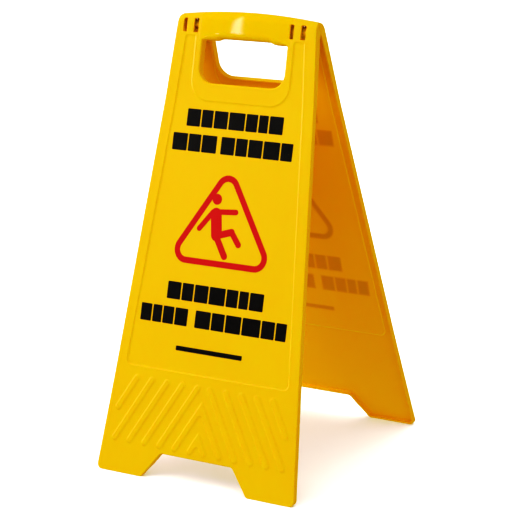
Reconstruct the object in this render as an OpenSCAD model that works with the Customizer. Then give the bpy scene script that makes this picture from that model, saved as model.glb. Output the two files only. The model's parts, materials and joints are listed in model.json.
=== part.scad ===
// Folding two-panel floor sign, standing open.
// Both panels are the same moulding; the rear one is turned half a turn about Z.
// Origin: on the floor, midway between the two pairs of feet. X along the hinge, +Z up.

/* [Panel] */
// Length from the hinge axis to the sole, along the outer face
panel_len = 595; // [500:5:700]
// Width at the hinge axis
hinge_w = 208.5; // [200:0.5:240]
// Width at the waist, where the printed field ends
waist_w = 277; // [250:1:300]
// Width at the soles
foot_w = 301; // [270:1:330]
// Distance from the hinge axis down to the waist
waist_v = 455; // [400:5:480]
// Thickness of the moulded wall
wall = 2.2; // [1.8:0.1:3]
// Depth of the return flange below the handle
flange = 8; // [6:0.5:10]
// Distance from the hinge axis to the outer face, square to it
face_off = 9.1; // [8:0.1:12]
// Distance from the hinge axis down to the bend under the handle
bend_v = 98; // [90:1:110]
// Angle between the handle stretch and the rest of the face
bend_angle = 2; // [0:0.5:4]
// Half of the angle between the panels when the sign stands open
half_angle = 16; // [12:1:20]

/* [Feet] */
// Half width of the notch at its top
notch_top = 54.5; // [40:0.5:60]
// Half width of the notch at the soles
notch_bottom = 80.5; // [65:0.5:90]
// Height of the notch
notch_h = 35; // [25:1:45]
// Radius of the outer corner of a foot
foot_r = 7; // [3:1:10]

/* [Handle] */
// Half width of the hand opening
hand_half = 63.5; // [55:0.5:66]
// Distance from the hinge axis down to the lower edge of the opening
hand_low = 74; // [65:1:80]
// Radius of the lower corners of the opening
hand_r = 19; // [10:1:25]
// Height of the grip, top to underside
grip_h = 38.5; // [34:0.5:42]
// Height of the top of the grip above the hinge axis, at mid width
grip_top = 22.5; // [20:0.5:24]
// Radius of the arch along the top of the grip
arch_r = 700; // [500:10:1000]
// How far the grip stands out of the panel
grip_proud = 2; // [0:0.5:3]

/* [Hinge] */
// Diameter of the hinge pins
pin_d = 6; // [5:0.5:7]
// Radial running clearance of a snap hook on its pin
pin_play = 0.05; // [0.03:0.01:0.1]
// Outer radius of the hooks and bosses
knuckle_r = 7.6; // [5.5:0.1:8]
// Gap between the two stop faces when the sign stands open
stop_gap = 0.3; // [0.2:0.1:0.5]

/* [Print and relief] */
// Depth of the printed field
field_d = 0.8; // [0.5:0.1:1]
// Height of the chevron ribs
rib_h = 0.8; // [0.5:0.1:1.2]
// Thickness of an ink layer
ink = 0.3; // [0.2:0.05:0.4]

/* [Hidden] */
$fn = 48;
eps = 0.01;
big = 400;
// Reach of the cutting shapes, more than the head's height and depth
cut_z = 40;

// Height of the hinge axis above the floor, with the soles flat on it
hinge_z = panel_len * cos(half_angle) - face_off * sin(half_angle);
// Y of the rim plane of a panel, in the panel's own frame
rim_y = flange - face_off;
// Radius and centre height of the rounded head
head_r = face_off + bend_v * tan(bend_angle);
head_z = 4;
head_top = head_z + head_r;
head_corner_r = 6;
// Radii of the lower and upper corners of the notch
notch_low_r = 5;
notch_top_r = 7;

// ---- outlines, as [x, z] in the panel's frame: z = 0 on the hinge axis, feet downwards ----
function unit(v) = v / norm(v);
function half_w(v) = v < waist_v
    ? (hinge_w + (waist_w - hinge_w) * v / waist_v) / 2
    : (waist_w + (foot_w - waist_w) * (v - waist_v) / (panel_len - waist_v)) / 2;
function both_sides(right) =
    concat(right, [for (i = [len(right) - 1:-1:0]) [-right[i][0], right[i][1], right[i][2]]]);

// Corner i of a closed outline, rounded to its own radius with steps short chords
function corner_arc(p, q, r, radius, steps) =
    let (a = unit(p - q), b = unit(r - q), half = acos(a * b) / 2)
    let (c = q + unit(a + b) * radius / sin(half))
    let (s = q + a * radius / tan(half) - c, e = q + b * radius / tan(half) - c)
    let (turn = atan2(s[0] * e[1] - s[1] * e[0], s * e), start = atan2(s[1], s[0]))
    [for (i = [0:steps]) c + radius * [cos(start + turn * i / steps), sin(start + turn * i / steps)]];
function xy(p) = [p[0], p[1]];
function rounded(pts, steps = 6) =
    let (n = len(pts))
    [for (i = [0:n - 1]) each pts[i][2] > 0
        ? corner_arc(xy(pts[(i + n - 1) % n]), xy(pts[i]), xy(pts[(i + 1) % n]), pts[i][2], steps)
        : [xy(pts[i])]];

// Outline moved inwards by d; the points run clockwise seen from the front
function inward(a, b) = let (t = unit(b - a)) [t[1], -t[0]];
function inset(pts, d) =
    let (n = len(pts))
    [for (i = [0:n - 1])
        let (q = xy(pts[i]))
        let (m = inward(xy(pts[(i + n - 1) % n]), q), k = inward(q, xy(pts[(i + 1) % n])))
        let (p = q + (m + k) * d / (1 + m * k))
        [p[0], p[1], is_outer(pts, i) ? max(pts[i][2] - d, 0) : pts[i][2] + d * sign(pts[i][2])]];
function is_outer(pts, i) =
    let (n = len(pts), q = xy(pts[i]))
    let (a = q - xy(pts[(i + n - 1) % n]), b = xy(pts[(i + 1) % n]) - q)
    a[0] * b[1] - a[1] * b[0] < 0;

panel_pts = [
    [-half_w(-head_top), head_top, head_corner_r],
    [half_w(-head_top), head_top, head_corner_r],
    [half_w(waist_v), -waist_v, 0],
    [half_w(panel_len), -panel_len, foot_r],
    [notch_bottom, -panel_len, notch_low_r],
    [notch_top, notch_h - panel_len, notch_top_r],
    [-notch_top, notch_h - panel_len, notch_top_r],
    [-notch_bottom, -panel_len, notch_low_r],
    [-half_w(panel_len), -panel_len, foot_r],
    [-half_w(waist_v), -waist_v, 0]
];
hand_pts = [
    [-hand_half, cut_z, 0],
    [hand_half, cut_z, 0],
    [hand_half, -hand_low, hand_r],
    [-hand_half, -hand_low, hand_r]
];

// Printed field: its side borders run parallel to the panel's edges
field_margin = 16;
field_top = 13;
field_low = 450;
field_spread = 2;
field_r = 8;
field_low_half = half_w(field_low) - field_margin + field_spread;
field_pts = [
    [field_margin - half_w(field_top), -field_top, 0],
    [half_w(field_top) - field_margin, -field_top, 0],
    [field_low_half, -field_low, field_r],
    [-field_low_half, -field_low, field_r]
];
// Raised surround of the hand opening, left standing inside the field
surround_half = 72.5;
surround_low = 96.5;
surround_r = 26;
surround_pts = [
    [-surround_half, 0, 0],
    [surround_half, 0, 0],
    [surround_half, -surround_low, surround_r],
    [-surround_half, -surround_low, surround_r]
];

// ---- building blocks in the panel's frame ----
// An outline in X and Z, extruded along Y from y0 to y1
module plate(pts, y0, y1) {
    translate([0, y1, 0]) rotate([90, 0, 0]) linear_extrude(y1 - y0) polygon(pts);
}
// A profile in Y and Z, extruded along X from x0 to x1
module bar(pts, x0, x1) {
    translate([x0, 0, 0]) rotate([90, 0, 90]) linear_extrude(x1 - x0) polygon(pts);
}
// A pin or bore along X
module rod(r, x0, x1) {
    translate([x0, 0, 0]) rotate([0, 90, 0]) cylinder(r = r, h = x1 - x0);
}
function face_y(v) = -(face_off + max(0, bend_v - v) * tan(bend_angle));
// Z where the slanted line of the sole, raised by up, crosses the given Y
function sole_z(y, up = 0) = (y * sin(half_angle) + up - hinge_z) / cos(half_angle);
// Y of the stop face at height z above the hinge axis
function stop_y(z) = -(stop_gap / 2 + z * sin(half_angle)) / cos(half_angle);
function head_arc(r, end) = [for (a = [0:end / 8:end + eps]) [-r * cos(a), head_z + r * sin(a)]];

// Side profile of a panel moved in from its outer face by d and up from its sole by up
function side_profile(d, up, y_in) = concat(
    [[face_y(panel_len) + d, sole_z(face_y(panel_len) + d, up)], [face_y(bend_v) + d, -bend_v]],
    head_arc(head_r - d, 90),
    [[y_in, head_top - d], [y_in, sole_z(y_in, up)]]
);
// Strip that follows the outer face, from d0 to d1 behind it
module face_strip(d0, d1) {
    bar([
        [face_y(panel_len) + d0, -panel_len], [face_y(bend_v) + d0, -bend_v], [face_y(0) + d0, 0],
        [face_y(0) + d1, 0], [face_y(bend_v) + d1, -bend_v], [face_y(panel_len) + d1, -panel_len]
    ], -big / 2, big / 2);
}
// Everything past the rim plane, and above the axis everything past the stop face
module past_the_rim() {
    bar([
        [rim_y, -panel_len - cut_z], [rim_y, 0], [stop_y(0), 0], [stop_y(cut_z), cut_z],
        [cut_z, cut_z], [cut_z, -panel_len - cut_z]
    ], -big / 2, big / 2);
}

// ---- panel ----
rib_angle = 30;
rib_w = 9;
rib_pitch = 23.5;
rib_top = 467;
rib_low = 550;
rib_side = 19;
rib_apex = 2;
function rib_start(k) = max(rib_top, rib_top + (rib_apex - k * rib_pitch) / tan(rib_angle));
function rib_u(k, v) = k * rib_pitch + (v - rib_top) * tan(rib_angle);
// Lowest point that a rib reaches before it meets the side margin
function rib_end(k) =
    min(rib_low, (half_w(rib_low) - rib_side - k * rib_pitch) / tan(rib_angle) + rib_top);

module chevron_rib(k) {
    v0 = rib_start(k);
    length = (rib_end(k) - v0) / cos(rib_angle);
    translate([rib_u(k, v0), -v0]) rotate(rib_angle) {
        translate([-rib_w / 2, -length]) square([rib_w, length]);
        circle(d = rib_w);
        translate([0, -length]) circle(d = rib_w);
    }
}
module chevron() {
    for (k = [-2:4]) {
        chevron_rib(k + 0.4);
        mirror([1, 0]) chevron_rib(k + 0.4);
    }
}

// Windows of one hinge end: a narrow one, a bar and a wide one
window_v = [-8.5, 10];
window_spans = [[0, 5.3], [16, 23]];
module windows(x) {
    for (span = window_spans)
        translate([x + span[0], -cut_z, -window_v[1]])
            cube([span[1] - span[0], cut_z - head_r / 2, window_v[1] - window_v[0]]);
}
left_windows = -94;
right_windows = 65.6;

module panel_body() {
    difference() {
        intersection() {
            plate(rounded(panel_pts), -30, 10);
            bar(side_profile(0, 0, 10), -big / 2, big / 2);
        }
        past_the_rim();
        // Hollow of the shell, clear of the walls round the opening
        difference() {
            intersection() {
                plate(rounded(inset(panel_pts, wall)), -30, 30);
                bar(side_profile(wall, wall, 30), -big / 2, big / 2);
            }
            plate(rounded(inset(hand_pts, -wall)), -31, 31);
        }
        plate(rounded(hand_pts), -40, 40);
        // Printed field, sunk round the raised surround
        difference() {
            intersection() {
                plate(rounded(field_pts), -40, 0);
                face_strip(-5, field_d);
            }
            plate(rounded(surround_pts), -41, 1);
        }
        windows(left_windows);
        windows(right_windows);
    }
    translate([0, face_y(panel_len) + eps, 0]) rotate([90, 0, 0]) linear_extrude(rib_h + eps) chevron();
    // The field stands in on the inside by the depth that it is sunk outside
    difference() {
        intersection() {
            plate(rounded(inset(field_pts, -wall)), -40, 0);
            face_strip(wall - eps, wall + field_d);
        }
        plate(rounded(surround_pts), -41, 1);
    }
}
grip_r = head_r + grip_proud;
grip_low = grip_top - grip_h;
grip_round_z = grip_top - grip_r;
grip_low_r = 7;
// An arc of n chords, from angle a0 to a1
function arc(c, r, a0, a1, n) =
    [for (i = [0:n]) c + r * [cos(a0 + (a1 - a0) * i / n), sin(a0 + (a1 - a0) * i / n)]];
// Section of the grip, as [height above the hinge axis, distance out from it]
module grip_section() {
    difference() {
        polygon(concat(
            [[grip_low, 0]],
            arc([grip_low + grip_low_r, grip_r - grip_low_r], grip_low_r, 180, 90, 5),
            arc([grip_round_z, 0], grip_r, 90, 0, 9)
        ));
        // Hollow, open at the back
        polygon(concat(
            [[grip_low + wall, -1], [grip_low + wall, grip_r - grip_low_r]],
            [[grip_low + grip_low_r, grip_r - wall]],
            arc([grip_round_z, 0], grip_r - wall, 90, 0, 9),
            [[grip_top - wall, -1]]
        ));
        // Back plane and stop face
        translate([grip_low - 1, -1]) square([grip_h + 2, 1 - rim_y]);
        polygon([[0, -1], [0, -stop_y(0)], [cut_z, -stop_y(cut_z)], [cut_z, -1]]);
    }
}
module grip_body() {
    sweep = 12;
    centre = grip_top - arch_r;
    intersection() {
        translate([0, 0, centre]) rotate([90, 0, 0]) rotate([0, 0, 90 - sweep / 2])
            rotate_extrude(angle = sweep) translate([-centre, 0]) grip_section();
        translate([-hand_half, -cut_z, -cut_z]) cube([2 * hand_half, 2 * cut_z, 2 * cut_z]);
    }
}

// ---- hinge ----
boss_x = [-87.5, -80.5];
cheek_x = [-69.2, -66.2];
hook_x = [72.5, 80.2];
pin_x = [-89.5, -66.5];
mouth = 4.6;

// Round boss on the axis, with a web from it to the inside of the face and of the head
module knuckle(span) {
    difference() {
        union() {
            rod(knuckle_r, span[0], span[1]);
            difference() {
                translate([span[0], -head_r, -knuckle_r]) cube([span[1] - span[0], head_r, cut_z]);
                past_the_rim();
            }
        }
        bar(concat(
            [[face_y(bend_v) + wall, -bend_v]], head_arc(head_r - wall, 90),
            [[0, cut_z], [-cut_z, cut_z], [-cut_z, -bend_v]]
        ), -big / 2, big / 2);
    }
}
module pin_carrier_body() {
    difference() {
        union() {
            knuckle(boss_x);
            knuckle(cheek_x);
        }
        rod(pin_d / 2, -big / 2, big / 2);
    }
}
module snap_hook_body() {
    difference() {
        knuckle(hook_x);
        rod(pin_d / 2 + pin_play, 0, big / 2);
        translate([0, 0, -mouth / 2]) cube([big / 2, 2 * knuckle_r, mouth]);
    }
}
module pin_body() {
    rod(pin_d / 2, pin_x[0], pin_x[1]);
}

// ---- print ----
cap_h = 22.5;
block_gap = 2.2;
// Relative widths of the blocks, repeated along a word
block_widths = [6, 5, 6, 7, 5, 4, 6];
// Rows of plain blocks: [top of the row, [[left edge, right edge, number of blocks], ...]]
rows = [
    [109, [[-74, 70, 7]]],
    [141.5, [[-92, -25, 3], [-18, 88, 5]]],
    [335, [[-73, 72, 7]]],
    [368, [[-110, -38, 4], [-26, 110, 6]]]
];
// Plain rule under the last row
rule_v = 417;
rule_w = 100;
rule_h = 6;
sign_top = 189;
sign_low = 309;
sign_half = 84;
sign_r = 18;
stroke = 8;

function total(list, n) = n == 0 ? 0 : list[n - 1] + total(list, n - 1);
module block_word(v, span) {
    widths = [for (i = [0:span[2] - 1]) block_widths[i % len(block_widths)]];
    unit_w = (span[1] - span[0] - (span[2] - 1) * block_gap) / total(widths, span[2]);
    for (i = [0:span[2] - 1])
        translate([span[0] + total(widths, i) * unit_w + i * block_gap, -v - cap_h])
            square([widths[i] * unit_w, cap_h]);
}
module black_art() {
    for (row = rows)
        for (span = row[1])
            block_word(row[0], span);
    translate([-rule_w / 2, -rule_v - rule_h]) square([rule_w, rule_h]);
}
function triangle(grow) =
    let (tip = sign_top - 15)
    inset([[0, -tip, sign_r], [sign_half, -sign_low, sign_r], [-sign_half, -sign_low, sign_r]], -grow);
module limb(a, b, w) {
    length = norm(b - a);
    translate(a) rotate(atan2(b[1] - a[1], b[0] - a[0])) {
        translate([0, -w / 2]) square([length, w]);
        circle(d = w);
        translate([length, 0]) circle(d = w);
    }
}
// A plain stick figure on one leg: trunk, standing leg, lifted thigh and shin, two arms
limbs = [
    [[-13, -241], [-9, -268], 16],
    [[-9, -270], [6, -294], 9],
    [[-6, -268], [13, -262], 9],
    [[13, -262], [25, -277], 8],
    [[-18, -239], [-36, -262], 7],
    [[-8, -238], [16, -236], 7]
];
head_at = [-14, -222];
head_d = 14;
module red_art() {
    difference() {
        polygon(rounded(triangle(0)));
        polygon(rounded(triangle(-stroke)));
    }
    translate(head_at) circle(d = head_d);
    for (part = limbs)
        limb(part[0], part[1], part[2]);
}
module ink_layer() {
    floor_y = face_y(panel_len) + field_d;
    translate([0, floor_y, 0]) rotate([90, 0, 0]) linear_extrude(ink) children();
}

// ---- placing ----
module at_front() {
    translate([0, 0, hinge_z]) rotate([-half_angle, 0, 0]) children();
}
module at_rear() {
    rotate([0, 0, 180]) at_front() children();
}

// ---- sub-parts ----
module front_panel() { color("gold") at_front() panel_body(); }
module rear_panel() { color("goldenrod") at_rear() panel_body(); }
module front_grip() { color("yellow") at_front() grip_body(); }
module rear_grip() { color("khaki") at_rear() grip_body(); }
module front_pin_carrier() { color("orange") at_front() pin_carrier_body(); }
module rear_pin_carrier() { color("darkorange") at_rear() pin_carrier_body(); }
module front_snap_hook() { color("orange") at_front() snap_hook_body(); }
module rear_snap_hook() { color("darkorange") at_rear() snap_hook_body(); }
module left_hinge_pin() { color("silver") at_front() pin_body(); }
module right_hinge_pin() { color("silver") at_rear() pin_body(); }
module front_print_black() { color("black") at_front() ink_layer() black_art(); }
module front_print_red() { color("red") at_front() ink_layer() red_art(); }
module rear_print_black() { color("black") at_rear() ink_layer() black_art(); }
module rear_print_red() { color("red") at_rear() ink_layer() red_art(); }

front_panel();
rear_panel();
front_grip();
rear_grip();
front_pin_carrier();
rear_pin_carrier();
front_snap_hook();
rear_snap_hook();
left_hinge_pin();
right_hinge_pin();
front_print_black();
front_print_red();
rear_print_black();
rear_print_red();
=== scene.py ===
import json
import math

import bmesh
import bpy
import numpy as np
from mathutils import Matrix, Vector
from mathutils.geometry import delaunay_2d_cdt


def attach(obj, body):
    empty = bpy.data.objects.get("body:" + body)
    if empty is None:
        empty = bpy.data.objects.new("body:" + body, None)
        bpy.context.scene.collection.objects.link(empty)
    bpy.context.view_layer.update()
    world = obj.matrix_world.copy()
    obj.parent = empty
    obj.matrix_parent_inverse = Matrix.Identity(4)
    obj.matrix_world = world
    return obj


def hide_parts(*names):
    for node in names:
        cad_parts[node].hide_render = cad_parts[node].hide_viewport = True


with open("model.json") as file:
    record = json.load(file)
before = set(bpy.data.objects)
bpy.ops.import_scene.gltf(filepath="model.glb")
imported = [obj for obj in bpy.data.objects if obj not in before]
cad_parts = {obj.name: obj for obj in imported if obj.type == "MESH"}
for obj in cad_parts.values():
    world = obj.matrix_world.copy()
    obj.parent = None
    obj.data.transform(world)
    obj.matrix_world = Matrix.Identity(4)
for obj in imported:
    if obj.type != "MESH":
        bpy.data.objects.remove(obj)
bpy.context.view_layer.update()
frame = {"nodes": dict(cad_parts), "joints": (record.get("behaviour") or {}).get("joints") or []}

# A folding two-panel floor sign of yellow polypropylene. Both panels are one moulding, made here once
# in its own frame and placed twice: x across, z up from the hinge axis, outer face towards -y, in mm.
# A point on a panel is (u, t, depth): u across, t up along the outer face, depth in from that face.
MM = 0.001
fold = frame["joints"][0]
hinge_z = fold["pos_m"][2] / MM
half_angle = math.radians(fold["range_deg"][1]) / 2
lean = math.tan(half_angle)


# ---- sizes of a panel, in mm ----
# outer face and outline; v is the distance down the panel from the hinge axis
face_off = 9.1
panel_len = (hinge_z + face_off * math.sin(half_angle)) / math.cos(half_angle)
hinge_w, waist_w, foot_w, waist_v = 208.5, 277, 301, 455
bend_v = 98
bend = math.tan(math.radians(2))

# wall, rim and stop face; the rim steps out to the stop face just below the hinge axis
wall = 2.2
rim_y = -1.1
rim_step = 6
stop_gap = 0.3

# roundings: outer edge, fillet inside the wall, and rim; a ring of points lies rim_lead below the rim
edge_r, sole_edge_r = 1.2, 0.9
inner_r = 1.2
rim_r = 0.4
rim_ease = rim_r * 0.3
rim_lead = 1.2
ROUND = [math.radians(a) for a in (0, 22.5, 45, 67.5, 90)]

# head: an arch along the top, with the hinge axis inside it
head_t = 4
head_len = 15.0
top_t = head_t + head_len
arch_t = -20
arch_r = 760
head_mid = 9.0
corner_r, corner_steps = 6, 7

# grip: how far it swells out of the face, where the swell is highest, where it ends, and its polish
grip_half = 66
grip_proud = 1.3
crest_t, crest_reach, crest_low = -1, 20, 0.5
swell_foot, swell_run, swell_depth = -30, 9, 6
polish_half, polish_run, polish_foot, polish_rise, polish_depth = 62, 8, -30, 8, 6

# feet and notch; near the soles the wall's end follows the floor and its edge gets sharper
notch_top, notch_bottom, notch_h = 54.5, 80.5, 35
foot_r, notch_low_r, notch_top_r = 7, 5, 7
sole_cut, sole_cut_run = 6, 18
sole_edge, sole_edge_run = 34, 24

# hand opening and the grip's underside, which rises in the middle
hand_half, hand_low, hand_r = 63.5, 74, 19
hand_edge_r, grip_edge_r = 2.4, 5.5
grip_low, grip_end, grip_end_run = -25, 52, 11
grip_under, grip_step, grip_run, grip_corner_r = -18.8, 2.4, 54, 2
rise_half, rise_run, rise_points = 34.5, 10, 37

# printed field, with a surround left proud round the hand opening
surround_half, surround_low, surround_r = 72.5, 96.5, 26
field_margin, field_top, field_low = 16, 13, 452
field_r, field_top_r = 8, 3.5
field_spread = 2
field_d = 0.8

# the field's edge, outside with its bead and inside: (share of step_w, share of field_d)
step_w = 2.6
step_shape = ((-0.55, 0), (-0.3, -0.14), (-0.1, -0.2), (0.12, -0.05), (0.4, 0.45), (0.75, 0.92), (1, 1))
back_step_shape = ((0, 0), (0.3, 0.14), (0.5, 0.5), (0.7, 0.86), (1, 1))

# chevron of ribs; ribs below 0 are arrowheads, the others a leg on either side
rib_angle = math.radians(30)
rib_w, rib_h, rib_pitch, rib_first, rib_top, rib_low, rib_side = 11, 0.8, 23.5, 9.4, 467, 550, 19
rib_numbers = range(-2, 5)
peak_r, least_peak_r, fork_r = 3, 0.5, 2
flank = 3.4
flank_shape = ((0, 0), (0.18, 0.07), (0.4, 0.32), (0.6, 0.68), (0.82, 0.93), (1, 1))

# hinge windows; their edge is (distance out from the opening, depth)
window_z = (-10, 8.5)
window_x = [(-94, -88.7), (-78, -71), (65.6, 70.9), (81.6, 88.6)]
window_r = 1.2
window_edge = ((0.5, 0), (0.15, 0.15), (0, 0.5))

# print: rows of blocks as (v, [(left, right, how many)]), and a rule as (v, width, height)
cap_h, block_gap, block_r = 22.5, 2.2, 1
block_widths = [6, 5, 6, 7, 5, 4, 6]
rows = [
    (109, [(-74, 70, 7)]),
    (141.5, [(-92, -25, 3), (-18, 88, 5)]),
    (335, [(-73, 72, 7)]),
    (368, [(-110, -38, 4), (-26, 110, 6)]),
]
rule = (417, 100, 6)

# print: a triangle, by its corners before they are rounded, and a figure of round-ended strokes as
# (from, to, width), the head last
sign_top, sign_low, sign_half, sign_r, stroke = 174, 309, 84, 18, 8
figure = [
    ((-13, -241), (-9, -268), 16),
    ((-9, -270), (6, -294), 9),
    ((-6, -268), (13, -262), 9),
    ((13, -262), (25, -277), 8),
    ((-18, -239), (-36, -262), 7),
    ((-8, -238), (16, -236), 7),
    ((-14, -222), (-13.99, -222), 14),
]

# the ink's film and how far it sinks into the field, and the print's painted shade on the inner face:
# its soft edge and how high it reaches
ink_t, ink_sink = 0.12, 0.05
print_shade_soft, print_shade_top = 1.6, -100

# spacing of the points between the outlines, as (du, dt), and the stretches they fill
coarse, fine, dense = (9, 8), (3, 1.5), (2.2, 2.0)
panel_half, head_half, head_margin, sole_margin = 146, 100, 0.8, 4
dense_half, dense_low, dense_high = 118, -430, -103
top_half = 78
clear_outside, clear_inside = 1.2, 1.0
line_step, hand_step, rib_step, window_step = 9, 5, 6, 4
turn_steps = 12
snap, weld = 1e-4, 0.02


# ---- the surface of a panel ----
def smooth(x):
    """From 0 to 1 with level ends."""
    x = np.clip(x, 0, 1)
    return x * x * (3 - 2 * x)


def half_w(v):
    """Half the panel's width at v."""
    v = np.asarray(v, float)
    upper = hinge_w + (waist_w - hinge_w) * v / waist_v
    lower = waist_w + (foot_w - waist_w) * (v - waist_v) / (panel_len - waist_v)
    return np.where(v < waist_v, upper, lower) / 2


def head_z(u):
    """Height of the centre of the rounded head."""
    return head_mid - np.asarray(u, float) ** 2 / (2 * arch_r)


def face_depth(z):
    """Distance from the hinge axis to the outer face."""
    return face_off + np.maximum(0, bend_v + z) * bend


def head_end(u):
    """Angle round the head at which the outer face meets the stop face."""
    r, z = face_depth(head_z(u)), head_z(u)
    tilt = math.atan(lean)
    offset = (stop_gap / 2 / math.cos(half_angle) + lean * z) * math.cos(tilt)
    return np.arccos(offset / r) - tilt


def height(u, t):
    """Height above the hinge axis of a point on the face, below the rounded head."""
    rise = (head_z(u) - head_t) * np.clip((t - arch_t) / (head_t - arch_t), 0, 1)
    return t + rise


def t_of(u, z):
    """The t at which the outer face reaches height z."""
    c, r, end = head_z(u), face_depth(head_z(u)), head_end(u)
    low = np.where(z < arch_t, z, arch_t + (z - arch_t) * (head_t - arch_t) / (c - arch_t))
    high = head_t + head_len * np.arcsin(np.clip((z - c) / r, 0, 1)) / end
    return np.where(z <= c, low, high)


def rim_depth(u, t):
    """Depth at which a wall along the face ends, on the rim plane or on the stop face."""
    z = height(u, np.minimum(t, head_t))
    rim = rim_y + (-stop_gap / 2 / math.cos(half_angle) - rim_y) * smooth((z + rim_step) / rim_step)
    plane = np.where(z < 0, rim, -(stop_gap / 2 / math.cos(half_angle) + z * lean))
    low = face_depth(z) + plane
    c, r = head_z(u), face_depth(head_z(u))
    a = head_end(u) * np.clip((t - head_t) / head_len, 0, 1)
    reach = (stop_gap / 2 / math.cos(half_angle) + lean * c) / (np.cos(a) - lean * np.sin(a))
    return np.where(t <= head_t, low, r - reach)


def bulge(u, t):
    """How far the grip swells out of the face."""
    across = np.clip(1 - (u / grip_half) ** 2, 0, 1)
    fall = np.where(t < crest_t, crest_low, 1) * ((t - crest_t) / crest_reach) ** 2
    return grip_proud * across * np.clip(1 - fall, 0, 1) * smooth((t - swell_foot) / swell_run)


def place(u, t, depth):
    """Points in the panel's frame."""
    u, t, depth = (np.asarray(a, float) for a in (u, t, depth))
    depth = np.minimum(depth, rim_depth(u, t)) - bulge(u, t) * np.clip(1 - depth / swell_depth, 0, 1)
    z = height(u, np.minimum(t, head_t))
    y = depth - face_depth(z)
    z = z + (y + face_off) * lean * (1 - smooth((t + panel_len - sole_cut) / sole_cut_run))
    r, a = face_depth(head_z(u)) - depth, head_end(u) * np.clip((t - head_t) / head_len, 0, 1)
    round_part = t > head_t
    y = np.where(round_part, -r * np.cos(a), y)
    z = np.where(round_part, head_z(u) + r * np.sin(a), z)
    return np.stack([u, y, z], 1)


# ---- outlines in (u, t), clockwise from outside ----
def unit(v):
    """The direction of v."""
    return v / np.linalg.norm(v)


def fillet(corners, steps=7):
    """A closed outline of (u, t, radius) corners, as points."""
    out, n = [], len(corners)
    for i in range(n):
        p, q, s = (np.array(corners[(i + k) % n][:2], float) for k in (-1, 0, 1))
        radius = corners[i][2]
        if radius <= 0:
            out.append(q)
            continue
        a, b = unit(p - q), unit(s - q)
        half = math.acos(np.clip(a @ b, -1, 1)) / 2
        centre = q + unit(a + b) * radius / math.sin(half)
        start, end = (q + leg * radius / math.tan(half) - centre for leg in (a, b))
        turn = math.atan2(start[0] * end[1] - start[1] * end[0], start @ end)
        first = math.atan2(start[1], start[0])
        for k in range(steps + 1):
            angle = first + turn * k / steps
            out.append(centre + radius * np.array([math.cos(angle), math.sin(angle)]))
    return np.array(out)


def refine(line, most, closed=True):
    """Adds points so that no stretch is longer than most, or a third of that on the head."""
    out, n = [], len(line)
    for i in range(n if closed else n - 1):
        p, q = line[i], line[(i + 1) % n]
        here = most if max(p[1], q[1]) < arch_t else most / 3
        parts = max(1, math.ceil(np.linalg.norm(q - p) / here))
        out += [p + (q - p) * k / parts for k in range(parts)]
    return np.array(out if closed else out + [line[-1]])


def shifted(line, d, closed=True):
    """The outline moved inwards by d (outwards if negative); an open one keeps its ends level."""
    after = np.roll(line, -1, 0) - line
    before = line - np.roll(line, 1, 0)
    if not closed:
        after[-1], before[0] = before[-1], after[0]
    after, before = (e / np.linalg.norm(e, axis=1)[:, None] for e in (after, before))
    m, k = (np.stack([e[:, 1], -e[:, 0]], 1) for e in (before, after))
    move = (m + k) / (1 + (m * k).sum(1))[:, None]
    if not closed:
        for i in (0, -1):
            move[i] = [1 / move[i][0], 0]
    return line + move * np.broadcast_to(d, len(line))[:, None]


def inside(points, loop):
    """Which points lie inside a closed loop."""
    x, y = points[:, 0], points[:, 1]
    found = np.zeros(len(points), bool)
    for (x0, y0), (x1, y1) in zip(loop, np.roll(loop, -1, 0)):
        if y0 == y1:
            continue
        crosses = (y0 > y) != (y1 > y)
        found ^= crosses & (x < (x1 - x0) * (y - y0) / (y1 - y0) + x0)
    return found


def clear_of(points, lines, gap):
    """The points that are at least gap away from every line."""
    keep = np.ones(len(points), bool)
    for line, closed in lines:
        a, b = (line, np.roll(line, -1, 0)) if closed else (line[:-1], line[1:])
        for p, q in zip(a, b):
            e = q - p
            k = np.clip(((points - p) @ e) / max(e @ e, 1e-9), 0, 1)
            keep &= np.linalg.norm(points - p - k[:, None] * e, axis=1) > gap
    return points[keep]


def grid(u0, u1, t0, t1, du, dt):
    """Points in staggered rows."""
    out = []
    for i, t in enumerate(np.arange(t0, t1, dt)):
        us = np.arange(u0 + (i % 2) * du / 2, u1, du)
        out.append(np.stack([us, np.full(len(us), t)], 1))
    return np.concatenate(out)


def side_outline():
    """The panel's outline from the right end of the stop face, down and round to the left end."""
    at = half_w(-head_mid)
    for _ in range(3):  # the corner's place and the head's height there depend on each other
        top = head_z(at) + face_depth(head_z(at))
        at = half_w(-top) - corner_r
    end = head_end(at)
    r = face_depth(head_z(at))
    last = math.asin((r * math.sin(end) - r + corner_r) / corner_r)
    arc = []
    for k in range(corner_steps + 1):
        angle = last * (1 - k / corner_steps)
        u = at + corner_r * math.cos(angle)
        z = top - corner_r + corner_r * math.sin(angle)
        arc.append([u, float(t_of(at, z)) if k else top_t])
    low = fillet([
        [*arc[-1], 0],
        [float(half_w(waist_v)), -waist_v, 0],
        [float(half_w(panel_len)), -panel_len, foot_r],
        [notch_bottom, -panel_len, notch_low_r],
        [notch_top, notch_h - panel_len, notch_top_r],
        [0, notch_h - panel_len, 0],
    ])
    right = np.array(arc[:-1] + list(low[:-1]))
    left = right[::-1] * [-1, 1]
    return refine(np.concatenate([right, [low[-1]], left]), line_step, closed=False)


def hand_outline():
    """The hand opening; the grip's underside is its upper edge."""
    us = np.linspace(-grip_run, grip_run, rise_points)
    under = grip_under + grip_step * (1 - smooth((np.abs(us) - rise_half) / rise_run))
    corners = [
        [-hand_half, grip_under, grip_corner_r],
        *([u, t, 0] for u, t in zip(us, under)),
        [hand_half, grip_under, grip_corner_r],
        [hand_half, -hand_low, hand_r],
        [-hand_half, -hand_low, hand_r],
    ]
    return refine(fillet(corners), hand_step)


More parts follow.
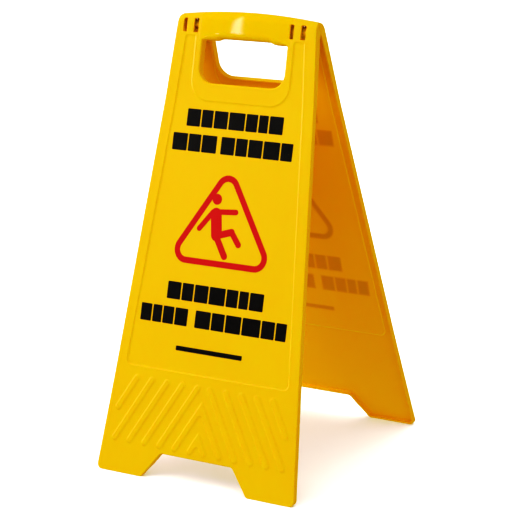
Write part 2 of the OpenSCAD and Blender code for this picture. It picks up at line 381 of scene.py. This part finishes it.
def field_outline():
    """The printed field, with the surround of the hand opening cut out of its top."""
    low_u = float(half_w(field_low)) - field_margin + field_spread
    top_u = float(half_w(field_top)) - field_margin
    right = [
        [surround_half, -surround_low, surround_r],
        [surround_half, -field_top, field_top_r],
        [top_u, -field_top, field_top_r],
        [low_u, -field_low, field_r],
    ]
    left = [[-u, t, r] for u, t, r in right]
    return refine(fillet(right + left[::-1]), line_step)


def half_turn(centre, start, r):
    """A half circle, clockwise from the angle start."""
    angles = start - np.pi * np.arange(turn_steps + 1) / turn_steps
    return centre + r * np.stack([np.cos(angles), np.sin(angles)], 1)


def capsule(a, b, w):
    """A round-ended stroke of width w from a to b."""
    a, b = np.array(a, float), np.array(b, float)
    angle = math.atan2(b[1] - a[1], b[0] - a[0])
    ends = (b, angle + math.pi / 2), (a, angle - math.pi / 2)
    return np.concatenate([half_turn(at, start, w / 2) for at, start in ends])


def rib_rings(d):
    """The ribs of the chevron, each drawn in by d: legs either side and arrowheads between them."""
    out, reach = [], float(half_w(rib_low)) - rib_side
    r = rib_w / 2 - d
    for k in rib_numbers:
        u0 = rib_first + k * rib_pitch
        low = min(rib_low, rib_top + (reach - u0) / math.tan(rib_angle))
        end = np.array([u0 + (low - rib_top) * math.tan(rib_angle), -low])
        if k >= 0:
            leg = capsule([u0, -rib_top], end, 2 * r)
            out += [leg, leg[::-1] * [-1, 1]]
        else:
            apex = np.array([0, u0 / math.tan(rib_angle) - rib_top])
            rise = np.array([0, r / math.sin(rib_angle)])
            right = half_turn(end, rib_angle, r)
            left = right[::-1] * [-1, 1]
            tip_r = max(peak_r - d, least_peak_r)
            peak = fillet([[*left[-1], 0], [*(apex + rise), tip_r], [*right[0], 0]])[1:-1]
            fork = fillet([[*right[-1], 0], [*(apex - rise), fork_r + d], [*left[0], 0]])[1:-1]
            out.append(np.concatenate([peak, right, fork, left]))
    return [refine(o, rib_step) for o in out]


def window_outlines():
    """The four hinge windows."""
    out = []
    for x0, x1 in window_x:
        mid = (x0 + x1) / 2
        low, high = (float(t_of(mid, z)) for z in window_z)
        corners = [[x, t, window_r] for x, t in ((x0, high), (x1, high), (x1, low), (x0, low))]
        out.append(refine(fillet(corners, 4), window_step))
    return out


# ---- shapes of the print ----
def segment_distance(p, a, b):
    """Distance from each point to the line between a and b."""
    a, b = np.array(a, float), np.array(b, float)
    k = np.clip(((p - a) @ (b - a)) / ((b - a) @ (b - a)), 0, 1)
    return np.linalg.norm(p - a - k[:, None] * (b - a), axis=1)


def loop_distance(p, loop):
    """Distance to a closed loop, negative inside."""
    d = np.min([segment_distance(p, a, b) for a, b in zip(loop, np.roll(loop, -1, 0))], 0)
    return np.where(inside(p, loop), -d, d)


def blocks():
    """Plain blocks in rows, and a rule under them: (left, right, low, high)."""
    out = []
    for v, spans in rows:
        for left, right, count in spans:
            widths = np.array([block_widths[i % len(block_widths)] for i in range(count)], float)
            widths *= (right - left - (count - 1) * block_gap) / widths.sum()
            x = left
            for w in widths:
                out.append((x, x + w, -v - cap_h, -v))
                x += w + block_gap
    v, w, h = rule
    return out + [(-w / 2, w / 2, -v - h, -v)]


def block_loops():
    """The outlines of the blocks."""
    out = []
    for left, right, low, high in blocks():
        corners = ((left, high), (right, high), (right, low), (left, low))
        out.append(fillet([[*p, block_r] for p in corners], 3))
    return out


def sign_loop(grow):
    """The triangle's outline, moved out by grow."""
    corners = np.array([[0, -sign_top], [sign_half, -sign_low], [-sign_half, -sign_low]], float)
    moved = shifted(corners, -grow)
    return fillet([[*p, sign_r + grow] for p in moved], 12)


def print_cover(p):
    """How much of the print lies over a point, from 0 to 1, with soft edges."""
    d = np.full(len(p), 99.0)
    for left, right, low, high in blocks():
        q = np.abs(p - [(left + right) / 2, (low + high) / 2]) - [(right - left) / 2, (high - low) / 2]
        d = np.minimum(d, np.linalg.norm(np.maximum(q, 0), axis=1) + np.minimum(q.max(1), 0))
    outer, inner = loop_distance(p, sign_loop(0)), loop_distance(p, sign_loop(-stroke))
    d = np.minimum(d, np.maximum(outer, -inner))
    for a, b, w in figure:
        d = np.minimum(d, segment_distance(p, a, b) - w / 2)
    return 1 - smooth((d + print_shade_soft) / (2 * print_shade_soft))


# ---- building a shell ----
class Shell:
    """Points in (u, t, depth), the faces between them and a tag for each point.

    The tag is painted shade where print lies behind the point, as much as the print covers; a negative
    one is painted light where the plastic is thin.
    """

    def __init__(self):
        self.at, self.faces, self.tags = [], [], []

    def add(self, line, depth, tag=0.0):
        """Adds points and gives back their numbers."""
        first = len(self.at)
        for p, d in zip(line, np.broadcast_to(depth, len(line))):
            self.at.append((p[0], p[1], d))
        self.tags += list(np.broadcast_to(tag, len(line)))
        return np.arange(first, len(self.at))

    def bridge(self, a, b, closed=True):
        """A band of faces between two rings of points."""
        n = len(a)
        for i in range(n if closed else n - 1):
            j = (i + 1) % n
            self.faces.append((a[i], a[j], b[j], b[i]))

    def flat(self, ids):
        """Where the points lie in (u, t)."""
        return np.array([self.at[i][:2] for i in ids])

    def fill(self, edge, holes, lines, points):
        """Triangles between the edge loop and the holes, along every line and through the points."""
        chains = [(edge, True)] + [(h, True) for h in holes] + list(lines)
        ids = sorted({int(i) for chain, _ in chains for i in chain} | {int(i) for i in points})
        slot = {i: k for k, i in enumerate(ids)}
        links = set()
        for chain, closed in chains:
            n = len(chain)
            for i in range(n if closed else n - 1):
                links.add(tuple(sorted((slot[int(chain[i])], slot[int(chain[(i + 1) % n])]))))
        co = [Vector(self.at[i][:2]) for i in ids]
        made = delaunay_2d_cdt(co, list(links), [], 0, snap)
        back = [ids[source[0]] if source else None for source in made[3]]
        tris = np.array([f for f in made[2] if len(f) == 3])
        centres = np.array([list(v) for v in made[0]])[tris].mean(1)
        keep = inside(centres, self.flat(edge))
        for h in holes:
            keep &= ~inside(centres, self.flat(h))
        for f in tris[keep]:
            face = [back[i] for i in f]
            if None not in face:
                self.faces.append(tuple(face))


def turned(points, rear):
    """From the panel's frame in mm to the row's frame in metres."""
    c, s = math.cos(-half_angle), math.sin(-half_angle)
    x, y, z = points.T
    out = np.stack([x, y * c - z * s, y * s + z * c + hinge_z], 1) * MM
    return out * [-1, -1, 1] if rear else out


def make_object(name, points, faces, rear, tags=None, sharp=50):
    """A smooth-shaded object with a value for each point under every tag's name."""
    mesh = bpy.data.meshes.new(name)
    mesh.from_pydata(turned(points, rear).tolist(), [], [tuple(int(i) for i in f) for f in faces])
    if tags:
        for key, values in tags.items():
            layer = mesh.attributes.new(key, "FLOAT", "POINT")
            layer.data.foreach_set("value", np.asarray(values, np.float32))
    bm = bmesh.new()
    bm.from_mesh(mesh)
    bmesh.ops.remove_doubles(bm, verts=bm.verts, dist=weld * MM)
    bmesh.ops.recalc_face_normals(bm, faces=bm.faces)
    bm.to_mesh(mesh)
    bm.free()
    mesh.shade_smooth()
    mesh.set_sharp_from_angle(angle=math.radians(sharp))
    obj = bpy.data.objects.new(name, mesh)
    bpy.context.scene.collection.objects.link(obj)
    weighted = obj.modifiers.new("normals", "WEIGHTED_NORMAL")
    weighted.keep_sharp = True
    return obj


# ---- the panel with its grip ----
def panel_shell():
    """The panel and grip as one moulding: outer face, walls and rims, and inner face."""
    shell = Shell()
    side, hand, field = side_outline(), hand_outline(), field_outline()
    windows, ribs = window_outlines(), rib_rings(0)
    sole_part = smooth((-side[:, 1] - panel_len + sole_edge) / sole_edge_run)
    side_r = edge_r + (sole_edge_r - edge_r) * sole_part
    on_grip = hand[:, 1] > grip_low
    grip_part = smooth((np.abs(hand[:, 0]) - grip_end) / grip_end_run)
    hand_r_at = np.where(on_grip, grip_edge_r, hand_edge_r)
    hand_r_at = hand_r_at - (grip_edge_r - hand_edge_r) * grip_part * on_grip

    # outer face: the rounded edges, the windows, the field's edge and the ribs
    quarter = [(1 - math.sin(a), 1 - math.cos(a)) for a in ROUND]
    outer = [shell.add(shifted(side, side_r * over, False), side_r * down) for over, down in quarter]
    holes = [shell.add(shifted(hand, -hand_r_at * over), hand_r_at * down) for over, down in quarter]
    panes = [[shell.add(shifted(w, -d), e) for d, e in window_edge] for w in windows]
    steps = [shell.add(shifted(field, step_w * d), field_d * e) for d, e in step_shape]
    rises = [shell.add(r, -rib_h * e) for d, e in flank_shape for r in rib_rings(flank * d)]

    # the walls end at the stop face, where outer and inner face share their points
    inner_ds = [wall + inner_r * (1 - math.cos(a)) for a in ROUND]
    rim_ds = [0, rim_ease, rim_r, wall - rim_r, wall - rim_ease, wall]
    ends = np.array([shifted(side, d, False)[0][0] for d in rim_ds + inner_ds])
    for ring in outer:
        for i, sign in ((ring[0], 1), (ring[-1], -1)):
            near = ends[np.abs(ends - abs(shell.at[i][0])).argmin()]
            shell.at[i] = (sign * near, top_t, shell.at[i][2])
    between = np.arange(-top_half, top_half + 1, fine[0])
    top_us = np.unique(np.round(np.concatenate([ends, -ends, between]), 5))

    def top_run(half, depth):
        """Points along the stop face's edge, between the walls."""
        us = top_us[np.abs(top_us) < half - 1e-3]
        return list(shell.add(np.stack([us, np.full(len(us), top_t)], 1), depth))

    edge = list(outer[-1]) + top_run(ends.max(), 0)
    lines = [(r, False) for r in outer[:-1]] + [(r, True) for r in holes[:-1] + steps]
    lines += [(r, True) for w in panes for r in w[:-1]]
    lines += [(r, True) for r in rises]
    walls = [(shell.flat(r), closed) for r, closed in lines + [(outer[-1], False), (holes[-1], True)]]
    walls += [(shell.flat(w[-1]), True) for w in panes]
    head_grid = grid(-head_half, head_half, arch_t, top_t - head_margin, *fine)
    sole_t = sole_margin - panel_len
    loose = np.concatenate([grid(-panel_half, panel_half, sole_t, arch_t, *coarse), head_grid])
    loose = loose[inside(loose, shell.flat(edge))]
    loose = clear_of(loose, walls, clear_outside)
    depth = np.where(inside(loose, field), field_d, 0.0)
    for r in ribs:
        depth = np.where(inside(loose, r), -rib_h, depth)
    points = shell.add(loose, depth)
    shell.fill(edge, [holes[-1]] + [w[-1] for w in panes], lines, points)

    # walls, rims and the fillets inside them
    def inner_rings(line, closed, sign, rounding):
        """From the rim down to the inner face: rings on the wall, on the rim and in the fillet."""
        out, inner = [], wall + inner_r
        below_rim = (rim_r, rim_ease, 0, 0, rim_ease, rim_r)
        least_depth = (rounding, rounding, 0, 0, inner, inner)
        for d, below, least in [(0, rim_lead, rounding), *zip(rim_ds, below_rim, least_depth)]:
            at = shifted(line, sign * d, closed)
            end = rim_depth(at[:, 0], at[:, 1])
            out.append(shell.add(at, np.maximum(end - below, np.minimum(end, least))))
        for a, d in zip(ROUND, inner_ds):
            fillet_depth = wall + inner_r * (1 - math.sin(a))
            out.append(shell.add(shifted(line, sign * d, closed), fillet_depth))
        return out

    rim = inner_rings(side, False, 1, side_r)
    sleeve = inner_rings(hand, True, -1, hand_r_at)
    for a, b in zip([outer[-1], *rim[:-1]], rim):
        shell.bridge(a, b, False)
    for a, b in zip([holes[-1], *sleeve[:-1]], sleeve):
        shell.bridge(a, b)
    back_panes = [shell.add(w, wall) for w in windows]
    for w, b in zip(panes, back_panes):
        shell.bridge(w[-1], b)

    # inner face: the field stands out of it, with thin plastic along its edge, which gets painted light
    plateau = shifted(field, -wall)
    back_steps = []
    for d, e in back_step_shape:
        # painted light: a negative tag makes the colour lighter where the plastic along the field's edge
        # is thin
        edge_glow = -4 * d * (1 - d)
        back_steps.append(shell.add(shifted(plateau, step_w * d), wall + field_d * e, edge_glow))
    edge = list(rim[-1]) + top_run(ends.min(), wall)
    lines = [(r, True) for r in back_steps]
    walls = [(shell.flat(r), c) for r, c in lines + [(rim[-1], False), (sleeve[-1], True)]]
    walls += [(shell.flat(w), True) for w in back_panes]
    under_print, over_print, beside_print = dense_low - 2, dense_high + 2, dense_half + 1
    loose = np.concatenate([
        grid(-dense_half, dense_half, dense_low, dense_high, *dense),
        grid(-panel_half, panel_half, sole_t, under_print, *coarse),
        grid(-panel_half, -beside_print, under_print, arch_t, *coarse),
        grid(beside_print, panel_half, under_print, arch_t, *coarse),
        grid(-dense_half, dense_half, over_print, arch_t, *coarse),
        head_grid,
    ])
    loose = loose[inside(loose, shell.flat(edge))]
    loose = clear_of(loose, walls, clear_inside)
    # painted shade on the inner face where the print lies behind it, below the head
    print_shade_and_thin_light = print_cover(loose) * (loose[:, 1] < print_shade_top)
    depth = np.where(inside(loose, plateau), wall + field_d, wall)
    points = shell.add(loose, depth, print_shade_and_thin_light)
    shell.fill(edge, [sleeve[-1], *back_panes], lines, points)
    return shell


def shell_object(name, shell, rear):
    """The shell as an object, with its tags and with polish on the face of the grip."""
    u, t, depth = np.array(shell.at).T
    across = np.clip(1 - (np.abs(u) - polish_half) / polish_run, 0, 1)
    polish = across * smooth((t - polish_foot) / polish_rise) * (depth < polish_depth)
    tags = {"print_shade_and_thin_light": shell.tags, "polish": polish}
    return make_object(name, place(u, t, depth), shell.faces, rear, tags)


# ---- ink films ----
def film_object(name, loops, holes, rear):
    """A thin film over every loop, with side walls down into the field's floor.

    Each hole is cut out of the loop with the same number, except where a loop after those lies over it.
    """
    points, links = [], []
    for loop in [*loops, *holes]:
        n, first = len(loop), len(points)
        points += [Vector(p) for p in loop]
        links += [(first + i, first + (i + 1) % n) for i in range(n)]
    made = delaunay_2d_cdt(points, links, [], 0, snap)
    flat = np.array([list(v) for v in made[0]])
    tris = np.array([f for f in made[2] if len(f) == 3])
    centres = flat[tris].mean(1)
    keep = np.any([inside(centres, loop) for loop in loops], 0)
    for loop, hole in zip(loops, holes):
        cut = inside(centres, loop) & inside(centres, hole)
        covered = np.any([inside(centres, other) for other in loops[len(holes):]], 0)
        keep &= ~cut | covered
    tris = tris[keep]
    used = {}
    for f in tris:
        for i in range(3):
            key = (int(f[i]), int(f[(i + 1) % 3]))
            used[key] = used.get(key, 0) + 1
    rim = [k for k in used if (k[1], k[0]) not in used]
    n = len(flat)
    faces = [tuple(f) for f in tris] + [(a, b, b + n, a + n) for a, b in rim]
    faces += [(f[2] + n, f[1] + n, f[0] + n) for f in tris]
    top = place(flat[:, 0], flat[:, 1], np.full(n, field_d - ink_t))
    low = place(flat[:, 0], flat[:, 1], np.full(n, field_d + ink_sink))
    obj = make_object(name, np.concatenate([top, low]), faces, rear, sharp=30)
    bm = bmesh.new()
    bm.from_mesh(obj.data)
    bmesh.ops.delete(bm, geom=[v for v in bm.verts if not v.link_faces], context="VERTS")
    bm.to_mesh(obj.data)
    bm.free()
    return obj


# ---- materials ----
def material(name):
    """A material with one principled shader, as (material, tree, shader)."""
    mat = bpy.data.materials.new(name)
    mat.use_nodes = True
    tree = mat.node_tree
    tree.nodes.clear()
    out = tree.nodes.new("ShaderNodeOutputMaterial")
    shader = tree.nodes.new("ShaderNodeBsdfPrincipled")
    tree.links.new(shader.outputs[0], out.inputs["Surface"])
    return mat, tree, shader


def node(tree, kind, inputs=None, **props):
    """A shader node; each input is a value or another node's output."""
    made = tree.nodes.new(kind)
    for key, value in props.items():
        setattr(made, key, value)
    for key, value in (inputs or {}).items():
        if isinstance(value, bpy.types.NodeSocket):
            tree.links.new(value, made.inputs[key])
        else:
            made.inputs[key].default_value = value
    return made


def noise(tree, coords, scale, detail, rough=0.55, stretch=(1, 1, 1)):
    """Noise of that scale, finer where stretch is above 1."""
    moved = node(tree, "ShaderNodeMapping", {"Vector": coords, "Scale": stretch})
    inputs = {"Vector": moved.outputs[0], "Scale": scale, "Detail": detail, "Roughness": rough}
    return node(tree, "ShaderNodeTexNoise", inputs).outputs["Fac"]


def ranged(tree, value, low, high, from_low=0.3, from_high=0.7):
    """The value, spread out from low to high."""
    inputs = {"Value": value, "From Min": from_low, "From Max": from_high, "To Min": low, "To Max": high}
    return node(tree, "ShaderNodeMapRange", inputs).outputs[0]


def mixed(tree, factor, a, b):
    """Colour a where factor is 0, b where it is 1."""
    return node(tree, "ShaderNodeMix", {0: factor, 6: a, 7: b}, data_type="RGBA").outputs[2]


def blended(tree, factor, a, b):
    """Number a where factor is 0, b where it is 1."""
    return node(tree, "ShaderNodeMix", {0: factor, 2: a, 3: b}, data_type="FLOAT").outputs[0]


def math_node(tree, kind, a, b):
    """The sum, product or other result of a and b."""
    return node(tree, "ShaderNodeMath", {0: a, 1: b}, operation=kind).outputs[0]


YELLOW = (0.93, 0.565, 0.002, 1)
DEEP = (0.90, 0.49, 0.002, 1)
# painted shade: the print seen darker through the plastic
PRINT_SHADE = (0.62, 0.22, 0.004, 1)
# painted light: plastic lit through where it is thin
THIN_GLOW = (1.0, 0.72, 0.008, 1)


def plastic(name, rough, grain):
    """Moulded polypropylene: cloudy colour, fine grain on the faces, polished on the grip.

    Painted shade where print lies behind it and painted light where it is thin, as its tag says.
    """
    mat, tree, shader = material(name)
    coords = node(tree, "ShaderNodeTexCoord").outputs["Object"]
    cloud = noise(tree, coords, 9, 3)
    flow = noise(tree, coords, 26, 5, 0.6, (2.6, 2.6, 0.5))
    fine_grain = noise(tree, coords, 1400, 2, 0.5)
    speck = noise(tree, coords, 260, 3, 0.6)

    # colour
    tone = mixed(tree, ranged(tree, cloud, 0.0, 0.35), YELLOW, DEEP)
    tone = mixed(tree, ranged(tree, flow, 0.0, 0.16), tone, DEEP)
    # the tag: painted shade where print lies behind, painted light where the plastic is thin
    print_shade_and_thin_light = node(tree, "ShaderNodeAttribute", attribute_name="print_shade_and_thin_light").outputs["Fac"]
    # painted shade: darker where the print lies behind the plastic
    tone = mixed(tree, math_node(tree, "MULTIPLY", print_shade_and_thin_light, 0.55), tone, PRINT_SHADE)
    # painted light: lighter where the plastic is thin
    tone = mixed(tree, math_node(tree, "MULTIPLY", print_shade_and_thin_light, -0.8), tone, THIN_GLOW)
    tree.links.new(tone, shader.inputs["Base Color"])

    # roughness
    polish = node(tree, "ShaderNodeAttribute", attribute_name="polish").outputs["Fac"]
    matt = ranged(tree, speck, *rough)
    matt = math_node(tree, "ADD", matt, ranged(tree, cloud, -0.03, 0.03))
    gloss = ranged(tree, speck, 0.035, 0.06)
    tree.links.new(blended(tree, polish, matt, gloss), shader.inputs["Roughness"])

    # relief: the mould's grain, and the sink that a thick moulding shows
    grit = math_node(tree, "MULTIPLY", fine_grain, 0.6)
    relief = math_node(tree, "ADD", grit, math_node(tree, "MULTIPLY", speck, 0.4))
    strength = ranged(tree, polish, grain, grain * 0.08, 0, 1)
    bump = node(tree, "ShaderNodeBump", {"Height": relief, "Strength": strength, "Distance": 0.0002})
    sink = node(tree, "ShaderNodeBump", {
        "Height": noise(tree, coords, 14, 2),
        "Strength": ranged(tree, polish, 0.12, 0.0, 0, 1),
        "Distance": 0.002,
        "Normal": bump.outputs[0],
    })
    tree.links.new(sink.outputs[0], shader.inputs["Normal"])

    shader.inputs["Specular IOR Level"].default_value = 0.3
    shader.inputs["Subsurface Weight"].default_value = 0.25
    shader.inputs["Subsurface Radius"].default_value = (1.0, 0.28, 0.01)
    shader.inputs["Subsurface Scale"].default_value = 0.004
    return mat


def ink(name, colour, worn):
    """Screen-printed ink: even, slightly open at pinholes, satin."""
    mat, tree, shader = material(name)
    coords = node(tree, "ShaderNodeTexCoord").outputs["Object"]
    grit = noise(tree, coords, 700, 4, 0.7)
    cloud = noise(tree, coords, 40, 3)
    tone = mixed(tree, ranged(tree, cloud, 0.0, 0.5), colour, worn)
    tone = mixed(tree, ranged(tree, grit, 0.0, 0.25, 0.66, 0.78), tone, YELLOW)
    tree.links.new(tone, shader.inputs["Base Color"])
    tree.links.new(ranged(tree, grit, 0.42, 0.58), shader.inputs["Roughness"])
    bump = node(tree, "ShaderNodeBump", {"Height": grit, "Strength": 0.15, "Distance": 0.0001})
    tree.links.new(bump.outputs[0], shader.inputs["Normal"])
    return mat


def floor_material():
    """A pale, matt floor, all but even."""
    mat, tree, shader = material("pale_floor")
    coords = node(tree, "ShaderNodeTexCoord").outputs["Object"]
    cloud = ranged(tree, noise(tree, coords, 3, 3), 0, 1)
    tone = mixed(tree, cloud, (0.93, 0.93, 0.93, 1), (0.95, 0.95, 0.95, 1))
    tree.links.new(tone, shader.inputs["Base Color"])
    shader.inputs["Roughness"].default_value = 0.7
    shader.inputs["Specular IOR Level"].default_value = 0.2
    return mat


# ---- camera, lights and floor ----
scene = bpy.context.scene
scene.view_settings.view_transform = "Standard"

# a camera's contrast: deep shades fall away, light ones keep their place
contrast = ((0.03, 0.004), (0.12, 0.05), (0.33, 0.235), (0.55, 0.56), (0.8, 0.79), (0.93, 0.93))
scene.view_settings.use_curve_mapping = True
tone_curve = scene.view_settings.curve_mapping.curves[3]
for shade, becomes in contrast:
    tone_curve.points.new(shade, becomes)
scene.view_settings.curve_mapping.update()

view_azimuth, view_elevation, view_distance = math.radians(31.23), math.radians(15.18), 2.689
aim_yaw, aim_pitch, aim_roll = math.radians(31.17), math.radians(15.58), math.radians(-1.375)
middle = Vector((0, 0, 0.2835))
back = Vector((
    math.sin(view_azimuth) * math.cos(view_elevation),
    -math.cos(view_azimuth) * math.cos(view_elevation),
    math.sin(view_elevation),
))
camera_data = bpy.data.cameras.new("camera")
camera_data.lens = 141.8
camera = bpy.data.objects.new("camera", camera_data)
camera.matrix_world = (
    Matrix.Translation(middle + back * view_distance)
    @ Matrix.Rotation(aim_yaw, 4, "Z")
    @ Matrix.Rotation(math.pi / 2 - aim_pitch, 4, "X")
    @ Matrix.Rotation(aim_roll, 4, "Z")
)
scene.collection.objects.link(camera)
scene.camera = camera


def softbox(name, position, target, size, power):
    """A rectangular lamp at position, turned to the target."""
    data = bpy.data.lights.new(name, "AREA")
    data.shape = "RECTANGLE"
    data.size, data.size_y = size
    data.energy = power
    light = bpy.data.objects.new(name, data)
    light.location = position
    light.rotation_euler = (Vector(target) - Vector(position)).to_track_quat("-Z", "Y").to_euler()
    scene.collection.objects.link(light)
    return light


softbox("key", (-1.5, -1.9, 2.3), (0, 0, 0.3), (1.6, 1.6), 33).visible_glossy = False
softbox("back_wash", (-0.3, 2.6, 1.9), (0, 0.1, 0.3), (2.2, 1.6), 36).visible_glossy = False
softbox("fill", (2.6, -1.3, 0.5), (0, 0.05, 0.25), (1.0, 1.0), 9).visible_glossy = False
softbox("kicker", (-3.0, -0.45, 0.9), (0, 0, 0.3), (0.5, 1.2), 30)

# an overhead wash that lights the floor alone
wash_data = bpy.data.lights.new("floor_wash", "SUN")
wash_data.energy, wash_data.angle = 2.3, math.radians(80)
wash = bpy.data.objects.new("floor_wash", wash_data)
scene.collection.objects.link(wash)

# a tall window that bends over the ceiling, with one curved side, mirrored in the polished grip; along
# its straight side x is all but the same as seen from the grip, which the round plastic shows as a line
grip_at = Vector((-0.0124, -0.0145, 0.5694))
window_turn = -0.013
window_far, window_w, window_slant = 2.6, 0.027, -0.002
window_blunt, window_least = 0.8, 0.0005
window_parts = 24
window_rise = (0, 0.76, 1), (4.5, 15, 76)  # share of its length, degrees above level

to_camera = (camera.matrix_world.translation - grip_at).normalized()
toward = window_turn - to_camera.x
window_points = []
for k in range(window_parts + 1):
    s = k / window_parts
    tilt = math.radians(np.interp(s, *window_rise))
    right = toward + window_w / 2 + window_slant * (2 * s - 1)
    for x in (right - window_w * math.sin(math.pi * s) ** window_blunt, right + window_least):
        ahead = math.sqrt(1 - x * x)
        direction = Vector((x, -ahead * math.cos(tilt), ahead * math.sin(tilt)))
        window_points.append(grip_at + window_far * direction)
window_faces = [(2 * k, 2 * k + 1, 2 * k + 3, 2 * k + 2) for k in range(window_parts)]
window_mesh = bpy.data.meshes.new("window")
window_mesh.from_pydata(window_points, [], window_faces)
window = bpy.data.objects.new("window", window_mesh)
window_light, _, shader = material("window_light")
shader.inputs["Base Color"].default_value = (0, 0, 0, 1)
shader.inputs["Emission Color"].default_value = (1, 0.98, 0.94, 1)
shader.inputs["Emission Strength"].default_value = 15
window_mesh.materials.append(window_light)
scene.collection.objects.link(window)

# the room: brighter below and overhead than at the horizon, white to the camera, dim in reflections
ground, horizon, overhead = 0.70, 0.46, 0.5
in_gloss, to_lens = 0.10, 1.0
world = bpy.data.worlds.new("studio")
world.use_nodes = True
scene.world = world
tree = world.node_tree
tree.nodes.clear()
path = node(tree, "ShaderNodeLightPath").outputs
around = node(tree, "ShaderNodeTexCoord").outputs["Generated"]
up = node(tree, "ShaderNodeSeparateXYZ", {0: around}).outputs["Z"]
room = ranged(tree, up, ground, horizon, -0.1, 0.1)
room = math_node(tree, "ADD", room, ranged(tree, up, 0.0, overhead, 0.3, 1.0))
strength = blended(tree, path["Is Glossy Ray"], room, in_gloss)
strength = blended(tree, path["Is Camera Ray"], strength, to_lens)
sky = node(tree, "ShaderNodeBackground", {"Color": (1, 1, 1, 1), "Strength": strength})
node(tree, "ShaderNodeOutputWorld", {"Surface": sky.outputs[0]})

floor_half = 20.0
floor_mesh = bpy.data.meshes.new("floor")
corners = [(-1, -1), (1, -1), (1, 1), (-1, 1)]
floor_mesh.from_pydata([(x * floor_half, y * floor_half, 0) for x, y in corners], [], [(0, 1, 2, 3)])
floor = bpy.data.objects.new("floor", floor_mesh)
floor_mesh.materials.append(floor_material())
floor.visible_diffuse = False
floor.visible_glossy = False
washed = bpy.data.collections.new("washed")
washed.objects.link(floor)
wash.light_linking.receiver_collection = washed
scene.collection.objects.link(floor)

# ---- the pieces ----
yellow = plastic("panel_polypropylene", (0.36, 0.46), 0.25)
hinge = plastic("hinge_polypropylene", (0.30, 0.42), 0.15)
black = ink("black_ink", (0.012, 0.011, 0.011, 1), (0.022, 0.018, 0.016, 1))
red = ink("red_ink", (0.68, 0.004, 0.004, 1), (0.58, 0.006, 0.004, 1))

panel = panel_shell()
films = [
    ("black", block_loops(), [], black),
    ("red", [sign_loop(0)] + [capsule(*limb) for limb in figure], [sign_loop(-stroke)], red),
]
for body, rear in (("front", False), ("rear", True)):
    piece = shell_object(body + "_panel_and_grip", panel, rear)
    piece.data.materials.append(yellow)
    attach(piece, body)
    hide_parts(body + "_panel", body + "_grip")
    for tone, loops, holes, mat in films:
        film = film_object(body + "_ink_" + tone, loops, holes, rear)
        film.data.materials.append(mat)
        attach(film, body)
        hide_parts(body + "_print_" + tone)

# the hinge's pieces are the CAD's own
for obj in frame["nodes"].values():
    if not obj.hide_render:
        obj.data.materials.clear()
        obj.data.materials.append(hinge)
